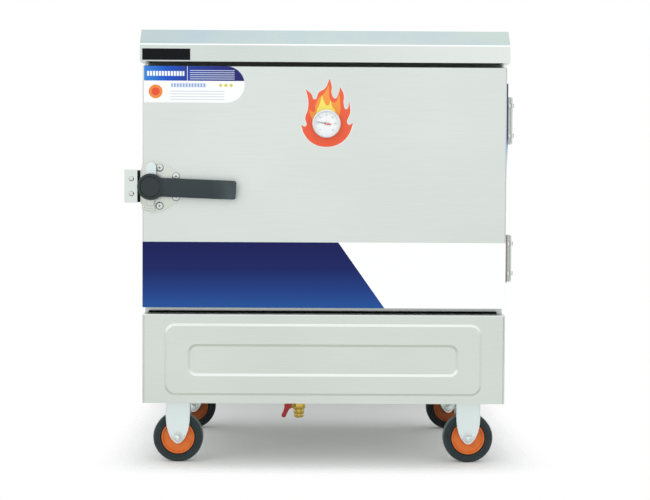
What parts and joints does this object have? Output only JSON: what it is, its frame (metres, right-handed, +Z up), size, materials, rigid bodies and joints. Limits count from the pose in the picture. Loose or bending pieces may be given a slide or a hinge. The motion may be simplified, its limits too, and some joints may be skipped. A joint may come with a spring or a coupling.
{
  "type": "electric rice steamer",
  "caption": "Stainless cabinet steamer on casters with an insulated hinged door, turning latch, trays over a heated sump, float-fed water tank and drain valve.",
  "frame": {"origin": "on the floor, below the middle of the cabinet's width and of its depth from the door's face to the back", "axes": "+X to the viewer's right, the door faces -Y, +Z up"},
  "size_m": [0.7743, 0.7581, 0.866],
  "materials": {
    "steel": "satin",
    "liner_steel": "satin",
    "bright_steel": "gloss",
    "mineral_wool": "matte",
    "seal_rubber": "matte",
    "tyre_rubber": "matte",
    "wheel_plastic": "satin",
    "lever_coating": "satin",
    "dial_face": "matte",
    "lens": "gloss",
    "pointer_paint": "matte",
    "valve_brass": "satin",
    "handle_red": "satin",
    "gland_plastic": "matte",
    "float_plastic": "satin"
  },
  "bodies": {
    "cabinet": {"top_cover": "steel", "left_side_panel": "steel", "right_side_panel": "steel", "back_panel": "steel", "front_frame": "steel", "inner_liner": "liner_steel", "cabinet_insulation": "mineral_wool", "base_front_panel": "steel", "base_tray": "steel", "keeper_bracket": "bright_steel", "frame_screws": "bright_steel", "hinge_frame_leaves": "bright_steel", "hinge_pins": "bright_steel", "hinge_collars": "bright_steel", "left_tray_rack": "liner_steel", "right_tray_rack": "liner_steel", "steam_baffle": "liner_steel", "heating_elements": "liner_steel", "terminal_cover": "steel", "cable_gland": "gland_plastic", "feed_tank": "steel", "float_valve": "valve_brass", "link_pipe": "liner_steel", "vent_pipe": "steel", "drain_pipe": "liner_steel", "drain_valve_body": "valve_brass", "caster_forks": "bright_steel", "caster_bolts": "bright_steel"},
    "door": {"door_outer_skin": "steel", "door_inner_skin": "liner_steel", "door_insulation": "mineral_wool", "door_gasket": "seal_rubber", "latch_plate": "bright_steel", "door_screws": "bright_steel", "hinge_door_leaves": "bright_steel", "thermometer_case": "bright_steel", "thermometer_dial": "dial_face", "thermometer_glass": "lens", "thermometer_stem": "liner_steel"},
    "dial_pointer": {"thermometer_pointer": "pointer_paint"},
    "latch": {"latch_lever": "lever_coating", "latch_spindle": "bright_steel", "latch_hook": "bright_steel"},
    "drain_handle": {"drain_valve_handle": "handle_red", "drain_valve_stem": "valve_brass"},
    "float": {"float_arm": "valve_brass", "float_ball": "float_plastic"},
    "tank_lid": {"feed_tank_lid": "steel"},
    "tray_1": {"tray_1": "liner_steel"},
    "tray_2": {"tray_2": "liner_steel"},
    "tray_3": {"tray_3": "liner_steel"},
    "tray_4": {"tray_4": "liner_steel"},
    "front_left_wheel": {"front_left_tyre": "tyre_rubber", "front_left_wheel_centre": "wheel_plastic"},
    "front_right_wheel": {"front_right_tyre": "tyre_rubber", "front_right_wheel_centre": "wheel_plastic"},
    "rear_left_wheel": {"rear_left_tyre": "tyre_rubber", "rear_left_wheel_centre": "wheel_plastic"},
    "rear_right_wheel": {"rear_right_tyre": "tyre_rubber", "rear_right_wheel_centre": "wheel_plastic"}
  },
  "joints": [
    {"name": "door_hinge", "type": "hinge", "parent": "cabinet", "child": "door", "pos_m": [0.3705, -0.2515, 0.554], "axis": [0, 0, 1], "range_deg": [0, 180]},
    {"name": "latch_turn", "type": "hinge", "parent": "door", "child": "latch", "pos_m": [-0.341, -0.33, 0.554], "axis": [0, -1, 0], "range_deg": [0, 90]},
    {"name": "pointer_turn", "type": "hinge", "parent": "door", "child": "dial_pointer", "pos_m": [0.003, -0.3165, 0.68], "axis": [0, 1, 0], "range_deg": [-45, 225]},
    {"name": "drain_turn", "type": "hinge", "parent": "cabinet", "child": "drain_handle", "pos_m": [-0.07, -0.01, 0.085], "axis": [1, 0, 0], "range_deg": [0, 90]},
    {"name": "float_pivot", "type": "hinge", "parent": "cabinet", "child": "float", "pos_m": [-0.3045, 0.3538, 0.342], "axis": [0, -1, 0], "range_deg": [0, 35]},
    {"name": "lid_hinge", "type": "hinge", "parent": "cabinet", "child": "tank_lid", "pos_m": [-0.255, 0.3138, 0.377], "axis": [1, 0, 0], "range_deg": [0, 85]},
    {"name": "tray_1_slide", "type": "slide", "parent": "cabinet", "child": "tray_1", "axis": [0, -1, 0], "range_m": [0, 0.283]},
    {"name": "tray_2_slide", "type": "slide", "parent": "cabinet", "child": "tray_2", "axis": [0, -1, 0], "range_m": [0, 0.283]},
    {"name": "tray_3_slide", "type": "slide", "parent": "cabinet", "child": "tray_3", "axis": [0, -1, 0], "range_m": [0, 0.283]},
    {"name": "tray_4_slide", "type": "slide", "parent": "cabinet", "child": "tray_4", "axis": [0, -1, 0], "range_m": [0, 0.283]},
    {"name": "front_left_wheel_turn", "type": "hinge", "parent": "cabinet", "child": "front_left_wheel", "pos_m": [-0.2925, -0.244, 0.05], "axis": [0, 1, 0], "continuous": true},
    {"name": "front_right_wheel_turn", "type": "hinge", "parent": "cabinet", "child": "front_right_wheel", "pos_m": [0.2925, -0.244, 0.05], "axis": [0, 1, 0], "continuous": true},
    {"name": "rear_left_wheel_turn", "type": "hinge", "parent": "cabinet", "child": "rear_left_wheel", "pos_m": [-0.2925, 0.244, 0.05], "axis": [0, 1, 0], "continuous": true},
    {"name": "rear_right_wheel_turn", "type": "hinge", "parent": "cabinet", "child": "rear_right_wheel", "pos_m": [0.2925, 0.244, 0.05], "axis": [0, 1, 0], "continuous": true}
  ],
  "couplings": [
    {"joint": "tray_1_slide", "follows": "door_hinge", "m_per_rad": 0.09},
    {"joint": "tray_2_slide", "follows": "door_hinge", "m_per_rad": 0.09},
    {"joint": "tray_3_slide", "follows": "door_hinge", "m_per_rad": 0.09},
    {"joint": "tray_4_slide", "follows": "door_hinge", "m_per_rad": 0.09}
  ]
}
